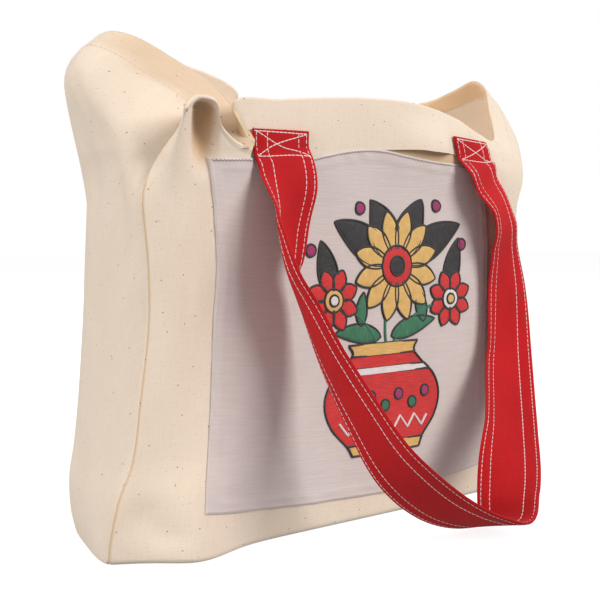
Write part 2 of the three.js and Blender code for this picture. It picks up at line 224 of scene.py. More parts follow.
def body_point(turn, z):
    """Points of the body at turns round the bag and heights below the neck."""
    side = np.floor(turn).astype(int) % SIDES
    t = turn - np.floor(turn)
    value = {name: smooth_column(BODY, "z", name, z) for name in BODY if name != "z"}
    fold = np.clip(1 - z / BASE_ROUND, 0, 1)
    inset = BASE_ROUND * (1 - np.sqrt(1 - fold * fold))
    pulled = {name: value[name] - np.sign(value[name]) * inset for name in set(CORNER_X + CORNER_Y)}
    following = (side + 1) % SIDES

    def between(names):
        first = np.choose(side, [pulled[name] for name in names])
        second = np.choose(following, [pulled[name] for name in names])
        return first + (second - first) * t

    front = side == 0
    skew = np.where(front, 1 + FRONT_SKEW * (1 - 2 * t), 1)
    fullness = np.where(front, value["front_fullness"], FULLNESS)
    stand = np.choose(side, [value[name] for name in BULGES]) * skew * (1 - np.abs(2 * t - 1) ** fullness)
    corner = np.exp(-((t - CORNER_TURN) / CORNER_REACH) ** 2) * smooth_step(t, 0, CORNER_TURN)
    stand = stand + np.where(front, value["corner_bulge"] * corner, 0)
    x = between(CORNER_X) + OUT_X[side] * stand
    y = between(CORNER_Y) + OUT_Y[side] * stand
    return np.stack([x, y, z], -1)


def curve_pieces(points, closed):
    """Coefficients of a smooth centripetal curve through points, one cubic a span."""
    if closed:
        row = np.vstack([points[-1:], points, points[:2]])
    else:
        row = np.vstack([2 * points[0] - points[1], points, 2 * points[-1] - points[-2]])
    before, here, after, later = row[:-3], row[1:-2], row[2:-1], row[3:]
    d0, d1, d2 = (np.linalg.norm(b - a, axis=1)[:, None] ** 0.5
                  for a, b in ((before, here), (here, after), (after, later)))
    leave = ((here - before) / d0 - (after - before) / (d0 + d1) + (after - here) / d1) * d1
    arrive = ((after - here) / d1 - (later - here) / (d1 + d2) + (later - after) / d2) * d1
    step = after - here
    return np.stack([here, leave, 3 * step - 2 * leave - arrive, leave + arrive - 2 * step])


def curve_at(pieces, place):
    """Points and tangents of a curve at places counted in spans."""
    k = np.clip(np.floor(place).astype(int), 0, pieces.shape[1] - 1)
    w = (place - k)[..., None]
    a, b, c, d = (part[k] for part in pieces)
    return a + w * (b + w * (c + w * d)), b + w * (2 * c + 3 * w * d)


RIM = curve_pieces(np.stack([MOUTH[name].astype(float) for name in "xyz"], -1), True)


def rim_values(turn):
    """Points of the rim at turns, with the swell, hold and crown of the wall below them."""
    k = np.searchsorted(MOUTH["turn"], turn, side="right") - 1
    ends = np.append(MOUTH["turn"], SIDES)
    t = (turn - ends[k]) / (ends[k + 1] - ends[k])
    following = (k + 1) % len(MOUTH["turn"])
    columns = [MOUTH[name] for name in ("swell", "hold", "crown")]
    values = [column[k] + (column[following] - column[k]) * t for column in columns]
    return curve_at(RIM, k + t)[0], *values


def rim_at(turn):
    """Points of the rim at turns."""
    return rim_values(np.mod(turn, SIDES))[0]


def swell_way(turn):
    """Directions in which the walls swell: out of their own side, or with the next one at a seam."""
    side = np.floor(turn).astype(int)
    is_panel = side % 2 == 0
    before = is_panel * (1 - smooth_step(turn - side, 0, SWELL_TURN))
    after = is_panel * smooth_step(turn - side, 1 - SWELL_TURN, 1)
    return [out[side] * (1 - before - after) + out[side - 1] * before + out[(side + 1) % SIDES] * after
            for out in (OUT_X, OUT_Y)]


def skin_point(turn, z):
    """Points of the bag's outer surface at turns and heights."""
    turn, z = np.broadcast_arrays(np.mod(turn, SIDES), np.asarray(z, float))
    low = body_point(turn, np.minimum(z, NECK_Z))
    rim, swell, hold, crown = rim_values(turn)
    rise = np.maximum(z - NECK_Z, 0) / (rim[..., 2] - NECK_Z)
    point = low + (rim - low) * (rise ** hold)[..., None]
    stand = swell * np.sin(np.pi * np.clip(rise, 0, 1) ** crown) ** SWELL_ROUND
    way_x, way_y = swell_way(turn)
    point[..., 0] += way_x * stand
    point[..., 1] += way_y * stand
    point[..., 2] = z
    return point


def unit(v):
    """Vectors of length one."""
    return v / np.maximum(np.linalg.norm(v, axis=-1, keepdims=True), TINY)


def skin_normal(turn, z, across_step=0.01, up_step=1.0):
    """Outward directions of the bag's outer surface."""
    across = skin_point(turn + across_step, z) - skin_point(turn - across_step, z)
    up = skin_point(turn, z + up_step) - skin_point(turn, z - up_step)
    return unit(np.cross(across, up))


def front_turn(column, z):
    """Turn of a front column at a height, so that the patch's edges run straight up the panel."""
    height = np.minimum(z, NECK_Z)
    names = ("front_left", "patch_left", "patch_right", "front_right")
    left, patch_left, patch_right, right = (smooth_column(BODY, "z", name, height) for name in names)
    above = np.clip((z - NECK_Z) / (BAND_Z - NECK_Z), 0, 1)
    first = (patch_left - left) / (right - left)
    last = (patch_right - left) / (right - left)
    first = first + (PATCH_FIRST - first) * above
    last = last + (PATCH_LAST - last) * above
    inside = first + (last - first) * (column - PATCH_FIRST) / PATCH_SPAN
    before = first * column / PATCH_FIRST
    after = last + (1 - last) * (column - PATCH_LAST) / (1 - PATCH_LAST)
    return np.where(column <= PATCH_FIRST, before, np.where(column >= PATCH_LAST, after, inside))


# Soft folds of the cloth, each a ridge or dent from one place of a side to another: both turns and heights,
# its half width and its depth. They fade out at their ends, near the seams and near the base.
FOLDS = [
    [0.03, 40, 0.10, 12, 12, -3.0],
    [0.05, 150, 0.07, 300, 9, 1.6],
    [0.10, 60, 0.11, 240, 8, -1.2],
    [3.25, 240, 3.40, 330, 16, -4.0],
    [3.75, 210, 3.62, 320, 14, -4.0],
    [3.50, 60, 3.62, 180, 18, 2.0],
    [3.82, 70, 3.90, 20, 10, -2.5],
    [1.30, 60, 1.40, 250, 16, 2.5],
    [1.65, 90, 1.55, 280, 14, -2.5],
    [2.15, 40, 2.30, 180, 26, 2.5],
    [2.55, 30, 2.50, 240, 30, -2.0],
    [2.80, 60, 2.72, 250, 24, 2.5],
    [0.90, 40, 0.93, 200, 10, 1.5],
]
FOLD_START = -0.25, 0.3
FOLD_END = 0.7, 1.25
FOLD_SEAM = 0, 14
FOLD_BASE = 3, 20
SIDE_LENGTH = np.array([385.0, 105.0, 370.0, 105.0])
SEAM_DEPTH = 0.9
SEAM_HALF = 0.8
LIP_TURN = 0.118
LIP_HALF = 0.022
LIP_DEPTH = 17.0
LIP_Z = 262, 306
LIP_EDGE = 0.5, 7
TUCK_DEPTH = 7.0
TUCK_TURN = (3.84, 3.92), (3.97, 4.0)
TUCK_RISE = (0.25, 0.7), (0.84, 1.0)


def hump(value, rise, fall):
    """Smooth rise from 0 to 1 over one stretch, and fall back to 0 over another."""
    return smooth_step(value, *rise) * (1 - smooth_step(value, *fall))


def side_of(turn):
    """Numbers of the sides at turns."""
    return np.floor(np.mod(turn, SIDES)).astype(int)


def relief(turn, z):
    """How far the soft folds lift the cloth, in millimetres."""
    side = side_of(turn)
    run = np.mod(turn, SIDES) * SIDE_LENGTH[side]
    lift = np.zeros(np.broadcast(turn, z).shape)
    for turn_a, z_a, turn_b, z_b, half_width, depth in FOLDS:
        here = int(turn_a)
        length = SIDE_LENGTH[here]
        start = np.array([turn_a * length, z_a])
        way = np.array([turn_b * length, z_b]) - start
        along = ((run - start[0]) * way[0] + (z - start[1]) * way[1]) / (way @ way)
        off = ((run - start[0]) * way[1] - (z - start[1]) * way[0]) / np.linalg.norm(way)
        from_seam = np.abs(turn - np.round(turn)) * length
        fade = smooth_step(from_seam, *FOLD_SEAM) * smooth_step(z, *FOLD_BASE)
        shape = np.exp(-(off / half_width) ** 2) * hump(along, FOLD_START, FOLD_END)
        lift = lift + np.where(side == here, depth * shape * fade, 0)
    return lift


def seam_dip(turn):
    """How far the cloth is drawn in at the seams between the panels, in millimetres."""
    from_seam = np.abs(turn - np.round(turn)) * SIDE_LENGTH[side_of(turn)]
    return -SEAM_DEPTH * np.exp(-(from_seam / SEAM_HALF) ** 2)


def below_rim(turn, z):
    """Distances of heights from the rim."""
    return rim_at(turn)[..., 2] - z


def lip_recess(turn, z):
    """How far the cloth under the curled lip is drawn in, in millimetres."""
    across = np.exp(-((turn - LIP_TURN) / LIP_HALF) ** 2)
    return -LIP_DEPTH * across * smooth_step(z, *LIP_Z) * smooth_step(below_rim(turn, z), *LIP_EDGE)


def tuck_back(turn, z):
    """How far the side's front corner stays behind the front panel before it comes over its rim."""
    rise = np.clip((z - NECK_Z) / below_rim(turn, NECK_Z), 0, 1)
    return TUCK_DEPTH * hump(turn, *TUCK_TURN) * hump(rise, *TUCK_RISE)


def skin(turn, z):
    """Outer surface with its folds and seams, and its directions."""
    normal = skin_normal(turn, z)
    lift = relief(turn, z) + seam_dip(turn) + lip_recess(turn, z)
    point = skin_point(turn, z) + normal * lift[..., None]
    point[..., 1] += tuck_back(turn, z)
    return point, normal


def new_piece(name, points, faces, material, uv, tone=None):
    """A mesh piece from points in millimetres. tone is how far painted shade tans the cloth, negative for
    painted shade inside.
    """
    mesh = bpy.data.meshes.new(name)
    mesh.from_pydata((np.asarray(points).reshape(-1, 3) * MM).tolist(), [], faces)
    layer = mesh.uv_layers.new(name="cloth")
    loops = np.empty(len(mesh.loops), int)
    mesh.loops.foreach_get("vertex_index", loops)
    layer.data.foreach_set("uv", (np.asarray(uv).reshape(-1, 2)[loops] * MM).astype(np.float32).ravel())
    if tone is not None:
        shades = mesh.attributes.new("tone", "FLOAT", "POINT")
        shades.data.foreach_set("value", np.asarray(tone, np.float32).ravel())
    mesh.polygons.foreach_set("use_smooth", [True] * len(mesh.polygons))
    mesh.set_sharp_from_angle(angle=math.radians(60))
    mesh.materials.append(material)
    piece = bpy.data.objects.new(name, mesh)
    bpy.context.scene.collection.objects.link(piece)
    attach(piece, "root")
    return piece


def grid_quads(height, width, start=0, flip=False):
    """Quads of a grid of points."""
    r, c = np.mgrid[0:height - 1, 0:width - 1]
    a = (start + r * width + c).ravel()
    quads = np.stack([a, a + 1, a + 1 + width, a + width], -1)
    return quads[:, ::-1] if flip else quads


def wall(outer, inner):
    """Points and faces of a closed wall between two grids of the same size."""
    height, width = outer.shape[:2]
    count = height * width
    number = np.arange(count).reshape(height, width)
    faces = [grid_quads(height, width), grid_quads(height, width, count, True)]
    for edge in (number[0, ::-1], number[-1], number[:, 0], number[::-1, -1]):
        faces.append(np.stack([edge[:-1], edge[1:], edge[1:] + count, edge[:-1] + count], -1))
    points = np.concatenate([outer.reshape(-1, 3), inner.reshape(-1, 3)])
    return points, np.concatenate(faces).tolist()


def new_wall(name, outer, inner, material, uv, tone=None):
    """A piece with a closed wall between two grids of points, which share their texture places."""
    points, faces = wall(outer, inner)
    return new_piece(name, points, faces, material, np.concatenate([uv.reshape(-1, 2)] * 2), tone)


def pairs(first, second):
    """Pairs of values, such as texture places, from two grids that fit each other."""
    return np.stack(np.broadcast_arrays(first, second), -1)


# Materials. Sizes of threads and specks are in metres.

TONE_LUMPS = (0.07, 0.09, 1)
TWILL = math.radians(55)
WEAVE_BUMP = 0.0004
STRAND = 0.0008
STRAND_LENGTH = 0.012
STRAND_BUMP = 0.0005

# Flecks of the calico: size of the cells that may hold one, its size in them, its strength and its colour
FLECKS = [
    [(0.009, 0.008, 1), 0.038, 0.4, (0.34, 0.22, 0.13)],
    [(0.017, 0.005, 1), 0.05, 0.35, (0.42, 0.30, 0.20)],
    [(0.024, 0.021, 1), 0.022, 0.8, (0.12, 0.07, 0.05)],
]


def fill(tree, target, inputs):
    """Set or link a node's inputs by name or number."""
    for name, value in inputs.items():
        if isinstance(value, bpy.types.NodeSocket):
            tree.links.new(value, target.inputs[name])
        else:
            target.inputs[name].default_value = value


def node(tree, kind, inputs, **settings):
    """A shader node with its settings and inputs."""
    made = tree.nodes.new(kind)
    for name, value in settings.items():
        setattr(made, name, value)
    fill(tree, made, inputs)
    return made


def maths(tree, operation, first, second=0.0):
    """Result of a sum on two values."""
    return node(tree, "ShaderNodeMath", {0: first, 1: second}, operation=operation).outputs[0]


def times(tree, first, second):
    """Product of two values."""
    return maths(tree, "MULTIPLY", first, second)


def blend(tree, first, second, share):
    """Sum of two values, the second with the given share and the first with the rest."""
    return maths(tree, "ADD", times(tree, first, 1 - share), times(tree, second, share))


def mix_colour(tree, share, first, second):
    """Mix of two colours by a share."""
    return node(tree, "ShaderNodeMix", {0: share, 6: first, 7: second}, data_type="RGBA").outputs[2]


def contrast(tree, value, low):
    """Value stretched about its middle, so that low becomes 0."""
    inputs = {0: value, 1: low, 2: 1 - low}
    return node(tree, "ShaderNodeMapRange", inputs, interpolation_type="SMOOTHSTEP").outputs[0]


def scaled(tree, vector, sizes, turn=0.0):
    """Texture place with one unit for each of the given sizes."""
    inputs = {"Vector": vector, "Scale": [1 / size for size in sizes], "Rotation": (0, 0, turn)}
    return node(tree, "ShaderNodeMapping", inputs).outputs[0]


def noise(tree, vector, sizes, detail):
    """Noise with one lump for each of the given sizes."""
    inputs = {"Vector": scaled(tree, vector, sizes), "Scale": 1.0, "Detail": detail}
    return node(tree, "ShaderNodeTexNoise", inputs).outputs[0]


def thread_waves(tree, vector, pitch, turn=0.0):
    """Bands of one thread each."""
    apart = node(tree, "ShaderNodeSeparateXYZ", {0: scaled(tree, vector, (pitch, pitch, pitch), turn)})
    return maths(tree, "SINE", times(tree, apart.outputs[0], 2 * math.pi))


def specks(tree, vector, cell, size, share):
    """Small round specks, one in a share of the cells."""
    inputs = {"Vector": scaled(tree, vector, cell), "Scale": 1.0}
    cells = node(tree, "ShaderNodeTexVoronoi", inputs, voronoi_dimensions="2D")
    apart = node(tree, "ShaderNodeSeparateColor", {0: cells.outputs["Color"]})
    near = maths(tree, "LESS_THAN", cells.outputs["Distance"], size)
    return times(tree, near, maths(tree, "LESS_THAN", apart.outputs[0], share))


def bumps(tree, height, strength, distance):
    """Directions of a surface with small bumps."""
    inputs = {"Strength": strength, "Distance": distance, "Height": height}
    return node(tree, "ShaderNodeBump", inputs).outputs[0]


def new_material(name):
    """A new material, with its node tree and shader."""
    material = bpy.data.materials.new(name)
    material.use_nodes = True
    return material, material.node_tree, material.node_tree.nodes["Principled BSDF"]


def cloth_place(tree):
    """Places on the cloth, along its threads."""
    return node(tree, "ShaderNodeUVMap", {}, uv_map="cloth").outputs[0]


def fabric(name, colour, shade, pitch, slub=(0.02, 0.0009), slub_share=0.5, flecks=0.0, diagonal=False,
           roughness=0.9, sheen=0.2, tan=None, inner=None, warp=0.5, weave_height=0.1):
    """Woven cloth: crossed threads or twill, slubs, flecks, soft changes of tone, and painted shade in tan
    where the tone attribute asks for it.
    """
    material, tree, shader = new_material(name)
    place = cloth_place(tree)
    length, width = slub
    along = noise(tree, place, (length, width, 1), 3)
    threads = blend(tree, along, noise(tree, place, (width, length, 1), 3), warp)
    tone = noise(tree, place, TONE_LUMPS, 3)
    mottle = blend(tree, contrast(tree, tone, 0.3), contrast(tree, threads, 0.36), slub_share)
    base = mix_colour(tree, mottle, (*shade, 1), (*colour, 1))
    # Painted shade: tan where the tone attribute is positive, the paler inside tan where it is negative.
    if tan:
        painted_shade = node(tree, "ShaderNodeAttribute", {}, attribute_name="tone").outputs["Fac"]
        base = mix_colour(tree, maths(tree, "MAXIMUM", painted_shade, 0), base, (*tan, 1))
        base = mix_colour(tree, maths(tree, "MAXIMUM", times(tree, painted_shade, -1), 0), base, (*inner, 1))
    for cell, size, strength, fleck in FLECKS if flecks else []:
        dots = specks(tree, place, cell, size, flecks)
        base = mix_colour(tree, times(tree, dots, strength), base, (*fleck, 1))
    weave = thread_waves(tree, place, pitch, TWILL if diagonal else 0)
    if not diagonal:
        weave = times(tree, weave, thread_waves(tree, place, pitch, math.pi / 2))
    height = maths(tree, "ADD", times(tree, weave, weave_height), threads)
    normal = bumps(tree, height, 0.6, WEAVE_BUMP)
    fill(tree, shader, {"Base Color": base, "Normal": normal, "Roughness": roughness, "Sheen Weight": sheen,
                        "Sheen Roughness": 0.6, "Specular IOR Level": 0.2})
    return material


def thread(name, colour, shade):
    """Twisted sewing or embroidery thread, its strands across the first direction of the cloth."""
    material, tree, shader = new_material(name)
    place = cloth_place(tree)
    strand = noise(tree, place, (STRAND, STRAND_LENGTH, 1), 2)
    tone = noise(tree, place, (STRAND_LENGTH, STRAND_LENGTH, 1), 2)
    share = blend(tree, contrast(tree, strand, 0.3), contrast(tree, tone, 0.3), 0.3)
    base = mix_colour(tree, share, (*shade, 1), (*colour, 1))
    normal = bumps(tree, strand, 0.8, STRAND_BUMP)
    fill(tree, shader, {"Base Color": base, "Normal": normal, "Roughness": 0.6, "Sheen Weight": 0.3,
                        "Specular IOR Level": 0.4})
    return material


# The calico's tan and inner colours are painted shade, laid on through the tone attribute.
calico = fabric("calico", (0.82, 0.70, 0.575), (0.76, 0.63, 0.505), 0.0009, flecks=0.75,
                tan=(0.62, 0.42, 0.24), inner=(0.74, 0.535, 0.335))
linen = fabric("linen", (0.67, 0.59, 0.57), (0.60, 0.515, 0.495), 0.0008, slub=(0.03, 0.0016),
               roughness=0.7, sheen=0.2, warp=0.2)
red_cotton = fabric("red_cotton", (0.56, 0.009, 0.013), (0.42, 0.005, 0.008), 0.0011, slub_share=0.35,
                    diagonal=True, roughness=0.85, sheen=0.03, weave_height=0.25)
white_thread = thread("white_thread", (0.86, 0.80, 0.78), (0.70, 0.60, 0.58))
linen_thread = thread("linen_thread", (0.80, 0.73, 0.70), (0.62, 0.54, 0.52))
seam_thread = thread("seam_thread", (0.24, 0.18, 0.16), (0.12, 0.09, 0.08))
calico_thread = thread("calico_thread", (0.74, 0.61, 0.47), (0.58, 0.45, 0.32))



# Calico walls

def spread(*runs):
    """Places in runs of from, to and count, each without its end, and the last end."""
    return np.append(np.concatenate([np.linspace(a, b, n, endpoint=False) for a, b, n in runs]), runs[-1][1])


def seamed(edge, zone, *middle):
    """Columns of a wall from seam to seam: close together at both seams, and runs between them."""
    return spread((0, edge, 2), (edge, zone, 3), *middle, (1 - zone, 1 - edge, 3), (1 - edge, 1, 2))


SEAM_EDGE = 0.0025
SEAM_ZONE = 0.01
SIDE_EDGE = 0.009
SIDE_ZONE = 0.036
LEVELS = spread((0, BASE_ROUND, 5), (BASE_ROUND, PATCH_BOTTOM, 8), (PATCH_BOTTOM, BAND_Z, 90))
BANDS = np.linspace(0, 1, 15)[1:]
ROW_Z = np.append(LEVELS, np.full(len(BANDS), float(BAND_Z)))
ROW_BAND = np.append(np.zeros(len(LEVELS)), BANDS)
FRONT_COLUMNS = seamed(SEAM_EDGE, SEAM_ZONE, (SEAM_ZONE, PATCH_FIRST, 34), (PATCH_FIRST, HANDLE_EDGE, 50),
                       (HANDLE_EDGE, PATCH_LAST, 80), (PATCH_LAST, 1 - SEAM_ZONE, 22))
BACK_COLUMNS = seamed(SEAM_EDGE, SEAM_ZONE, (SEAM_ZONE, 1 - SEAM_ZONE, 120))
SIDE_COLUMNS = seamed(SIDE_EDGE, SIDE_ZONE, (SIDE_ZONE, 1 - SIDE_ZONE, 44))
BASE_COLUMNS = np.linspace(1, 0, 90)[1:-1]


def row_heights(turn, row_z, row_band):
    """Heights of the rows: level up to the band, then shares of the band up to the rim."""
    return row_z + row_band * below_rim(turn, BAND_Z)


def arc_lengths(points, axis):
    """Distance along one direction of a grid, from its first line."""
    steps = np.linalg.norm(np.diff(points, axis=axis), axis=-1)
    first = np.zeros_like(np.take(steps, [0], axis))
    return np.concatenate([first, np.cumsum(steps, axis)], axis)


# Painted shade, laid on as tan through the tone attribute: near the left ear's rim, where less light comes
# through the doubled hem, a painted shadow under the front's loose band, painted shade in the lip's recess
# and a painted shadow line along the front's left seam; and the stretches over which each begins and ends, in
# millimetres or turns
HEM_PAINTED_SHADE = 0.55
HEM_SHADE_BELOW = 9, 12
HEM_SHADE_TURN = 3.3, 3.62
LIP_PAINTED_SHADE = 0.8
LIP_SHADE_DEPTH = 1, 9
BAND_PAINTED_SHADOW = 0.9
BAND_SHADOW_X = (20, 40), (112, 118)
BAND_SHADOW_Z = 274, 280
SEAM_PAINTED_SHADOW = 0.9
SEAM_SHADOW_TOP = 300, 310


def hem_painted_shade(turn, z):
    """Painted shade: how tan the outside of the left ear is painted near its rim, where less light comes
    through the doubled hem behind it.
    """
    near_rim = 1 - smooth_step(below_rim(turn, z), *HEM_SHADE_BELOW)
    return HEM_PAINTED_SHADE * near_rim * smooth_step(turn, *HEM_SHADE_TURN)


def front_painted_shade(column, turn, z, point):
    """Painted shade on the front: a painted shadow under its loose band, painted shade in the lip's recess
    and a painted shadow line along its left seam.
    """
    # Painted shadow under the loose band's lower edge.
    band_shadow = BAND_PAINTED_SHADOW * hump(point[..., 0], *BAND_SHADOW_X) * smooth_step(point[..., 2], *BAND_SHADOW_Z)
    # Painted shade in the recess under the curled lip.
    lip_shade = LIP_PAINTED_SHADE * smooth_step(-lip_recess(turn, z), *LIP_SHADE_DEPTH)
    # Painted shadow line along the left seam.
    seam_shadow = 1 - smooth_step(column, SEAM_EDGE / 2, SEAM_EDGE * 1.5)
    seam_shadow = SEAM_PAINTED_SHADOW * seam_shadow * (1 - smooth_step(z, *SEAM_SHADOW_TOP))
    return np.maximum(np.maximum(band_shadow, lip_shade), seam_shadow)


def cloth_wall(name, points, normals, uv, tone):
    """A calico wall, thickened inwards."""
    tones = np.concatenate([tone.ravel(), np.zeros(tone.size)])
    return new_wall(name, points, points - normals * CLOTH, calico, uv, tones)


def panel(turns):
    """Points, directions, texture places and heights of a panel's rows."""
    heights = row_heights(turns, ROW_Z[:, None], ROW_BAND[:, None])
    points, normals = skin(turns, heights)
    return points, normals, pairs(arc_lengths(points, 1), heights), heights


turns = front_turn(FRONT_COLUMNS, ROW_Z[:, None])
points, normals, uv, heights = panel(turns)
# Painted shade on the front: under the loose band, in the lip and along the left seam.
tone = front_painted_shade(FRONT_COLUMNS, turns, heights, points)
front_cloth = cloth_wall("front_cloth", points, normals, uv, tone)
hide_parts("front_panel")

turns = np.clip(2 + BACK_COLUMNS, 2, 3 - SHORT) + 0 * ROW_Z[:, None]
points, normals, uv, heights = panel(turns)
back_cloth = cloth_wall("back_cloth", points, normals, uv, np.zeros(turns.shape))
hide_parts("back_panel")


def floor_point(column, across):
    """Points of the base between its four edges."""
    def edge(turn):
        return skin_point(turn, np.zeros_like(turn))
    column, across = np.broadcast_arrays(column, across)
    level = np.zeros_like(column)
    front, back = edge(front_turn(column, level)), edge(3 - column)
    left, right = edge(4 - across), edge(1 + across)
    corners = [edge(level + turn) for turn in range(SIDES)]
    across, column = across[..., None], column[..., None]
    near = (1 - column) * corners[0] + column * corners[1]
    far = (1 - column) * corners[3] + column * corners[2]
    return (front * (1 - across) + back * across + left * (1 - column) + right * column
            - near * (1 - across) - far * across)


across = SIDE_COLUMNS[:, None]
right_turns = np.clip(1 + across, 1, 2 - SHORT) + 0 * ROW_Z
left_turns = np.clip(4 - across, 3 + SHORT, 4 - SHORT) + 0 * ROW_Z
right_z = row_heights(right_turns, ROW_Z[::-1], ROW_BAND[::-1])
left_z = row_heights(left_turns, ROW_Z, ROW_BAND)
base_points = floor_point(BASE_COLUMNS, across)
base_normals = np.broadcast_to([0.0, 0.0, -1.0], base_points.shape)
runs = zip(skin(right_turns, right_z), (base_points, base_normals), skin(left_turns, left_z))
points, normals = (np.concatenate(run, 1) for run in runs)
uv = pairs(arc_lengths(points, 0), arc_lengths(points, 1))
tone = np.zeros(points.shape[:2])
# Painted shade near the left ear's rim.
tone[:, -len(ROW_Z):] = hem_painted_shade(left_turns, left_z)
gusset_cloth = cloth_wall("gusset_cloth", points, normals, uv, tone)
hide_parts("gusset")


# Hems: strips folded over the rim, with a free lower edge outside and a short turn inside

HEM_THICK = 0.7
HEM_GAP = 0.15
HEM_DOWN = 6
FRONT_HEM_DOWN = 5
HEM_ROWS = 18
HEM_INSIDE = np.linspace(0.5, 11, 6)
# Painted shade on the inside of the hems.
HEM_INSIDE_SHADE = -1.0
HEM_LIFT = 0, 0.9
ROLL_STEPS = 7
HEM_START = 0.03
RIDGE_TURN = 0.08
RIDGE_REACH = 0.09, 0.12
RIDGE_SHARE = 0.02
BAND_TURN = (0.235, 0.245), (0.80, 0.84)
BAND_LOOSE = 6.0
BAND_LOOSE_X = (10, 70), (86, 99)
# Turns over which the painted inside shade fades out, leaving the back's left part without it.
BACK_SHADE_FADE = 2.55, 2.62


def hem_strip(name, turn, low, lift=0, step=0, inside_shade=HEM_INSIDE_SHADE):
    """A hem over the rim from a lower edge at given heights, where it stands off by lift and ends in a step.
    Inside, it is short at the tight ridge of the lip."""
    rim_z = rim_at(turn)[..., 2]
    shares = np.linspace(0, 1, HEM_ROWS)[:, None]
    outside_z = low + (rim_z - low) * shares
    stand = lift * (1 - smooth_step(shares, *HEM_LIFT))
    flush = step + (1 - step) * smooth_step(shares, 0, 1)
    rim, rim_normal = skin(turn, rim_z)
    middle = rim - rim_normal * CLOTH / 2
    angles = np.linspace(0, math.pi, ROLL_STEPS)[:, None, None]
    reach = RIDGE_SHARE + (1 - RIDGE_SHARE) * smooth_step(np.abs(turn - RIDGE_TURN), *RIDGE_REACH)
    inside_z = rim_z - HEM_INSIDE[:, None] * reach
    outside, outside_normal = skin(np.broadcast_to(turn, outside_z.shape), outside_z)
    inside, inside_normal = skin(np.broadcast_to(turn, inside_z.shape), inside_z)

    def layer(depth):
        radius = CLOTH / 2 + depth
        return np.concatenate([
            outside + outside_normal * (depth * flush + stand)[..., None],
            middle + rim_normal * np.cos(angles) * radius + np.array([0, 0, 1.0]) * np.sin(angles) * radius,
            inside - inside_normal * (CLOTH + depth)])

    outer = layer(HEM_GAP + HEM_THICK)
    uv = pairs(arc_lengths(outer, 1)[:1], arc_lengths(outer, 0))
    # Painted shade: the ear's rim shade on the hem's outside, the painted inside shade on the part turned in.
    tone = np.broadcast_to(hem_painted_shade(turn, rim_z), outer.shape[:2]).copy()
    tone[HEM_ROWS + ROLL_STEPS // 2:] = inside_shade
    return new_wall(name, outer, layer(HEM_GAP), calico, uv, np.concatenate([tone.ravel()] * 2))


turns = np.clip(front_turn(FRONT_COLUMNS, BAND_Z), HEM_START, 1 - SHORT)
rim_x, _, rim_z = rim_at(turns).T
band_share = hump(turns, *BAND_TURN)
hem_low = rim_z - FRONT_HEM_DOWN
hem_low = hem_low + (smooth_column(BAND_EDGE, "x", "z", rim_x) - hem_low) * band_share
front_hem = hem_strip("front_hem", turns, hem_low, BAND_LOOSE * hump(rim_x, *BAND_LOOSE_X), band_share)

SIDE_HEMS = [
    ("right_hem", 1, 2.004, 60),
    ("back_hem", 1.996, 3 - SHORT, 160),
    ("left_hem", 3, SIDES + HEM_START, 93),
]
for name, first_turn, last_turn, count in SIDE_HEMS:
    turns = np.mod(np.linspace(first_turn, last_turn, count), SIDES)
    # Painted inside shade, fading out over the back's left part.
    inside_shade = HEM_INSIDE_SHADE * np.where(turns < 3, 1 - smooth_step(turns, *BACK_SHADE_FADE), 1)
    hem_strip(name, turns, rim_at(turns)[:, 2] - HEM_DOWN, inside_shade=inside_shade)


# Linen patch with turned edges

PATCH_WIDTH = 290.0
PATCH_STITCH_IN = 3.2
PATCH_EDGES = table(["share", "bottom", "top"], [
    [0, 32, 281],
    [0.12, 27, 282],
    [0.32, 22, 283],
    [0.40, 21, 287],
    [0.49, 20, 291],
    [0.58, 19, 292],
    [0.67, 19, 289],
    [0.78, 20, 285],
    [0.88, 23, 283],
    [1, 27, 281],
])

# Relief of the patch in millimetres: its turned edge, its rounded rim, the dip of its stitches, the pucker
# beside them and the sway of the cloth
TURNED = 0.5
TURNED_EDGE = 8, 10.5
RIM_DROP = 0.9
RIM_EDGE = 0, 1.6
STITCH_DIP = 0.3
STITCH_HALF = 0.9
PUCKER = 0.22
PUCKER_WAVES = 4.1, 17
PUCKER_REACH = 9
SWAY = [(0.5, 24, 90), (0.4, -60, 31)]
SWAY_EDGE = 0, 30


def patch_edge(column, name):
    """Height of the patch's lower or upper edge at a column."""
    return smooth_column(PATCH_EDGES, "share", name, (column - PATCH_FIRST) / PATCH_SPAN)


def patch_height(column, share):
    """Heights at shares of the way from the patch's lower edge to its upper edge."""
    bottom, top = patch_edge(column, "bottom"), patch_edge(column, "top")
    return bottom + (top - bottom) * share


def patch_point(column, share):
    """Points on the patch's outer face at columns and shares of its height, with their directions."""
    column, share = np.broadcast_arrays(column, share)
    z = patch_height(column, share)
    point, normal = skin(front_turn(column, z), z)
    across = (column - PATCH_FIRST) / PATCH_SPAN * PATCH_WIDTH
    from_ends = np.minimum(z - patch_edge(column, "bottom"), patch_edge(column, "top") - z)
    edge = np.minimum(np.minimum(across, PATCH_WIDTH - across), from_ends)
    run = across + z
    short_wave, long_wave = PUCKER_WAVES
    turned = TURNED * (1 - smooth_step(edge, *TURNED_EDGE))
    drop = RIM_DROP * (1 - smooth_step(edge, *RIM_EDGE))
    dip = STITCH_DIP * np.exp(-((edge - PATCH_STITCH_IN) / STITCH_HALF) ** 2)
    pucker = PUCKER * np.sin(run / short_wave + 2 * np.sin(run / long_wave))
    pucker = pucker * np.exp(-(edge / PUCKER_REACH) ** 2)
    sway = sum(height * np.sin(across / wave_x + z / wave_z) for height, wave_x, wave_z in SWAY)
    lift = PATCH_GAP + PATCH_CLOTH + turned - drop - dip + pucker + sway * smooth_step(edge, *SWAY_EDGE)
    return point + normal * lift[..., None], normal


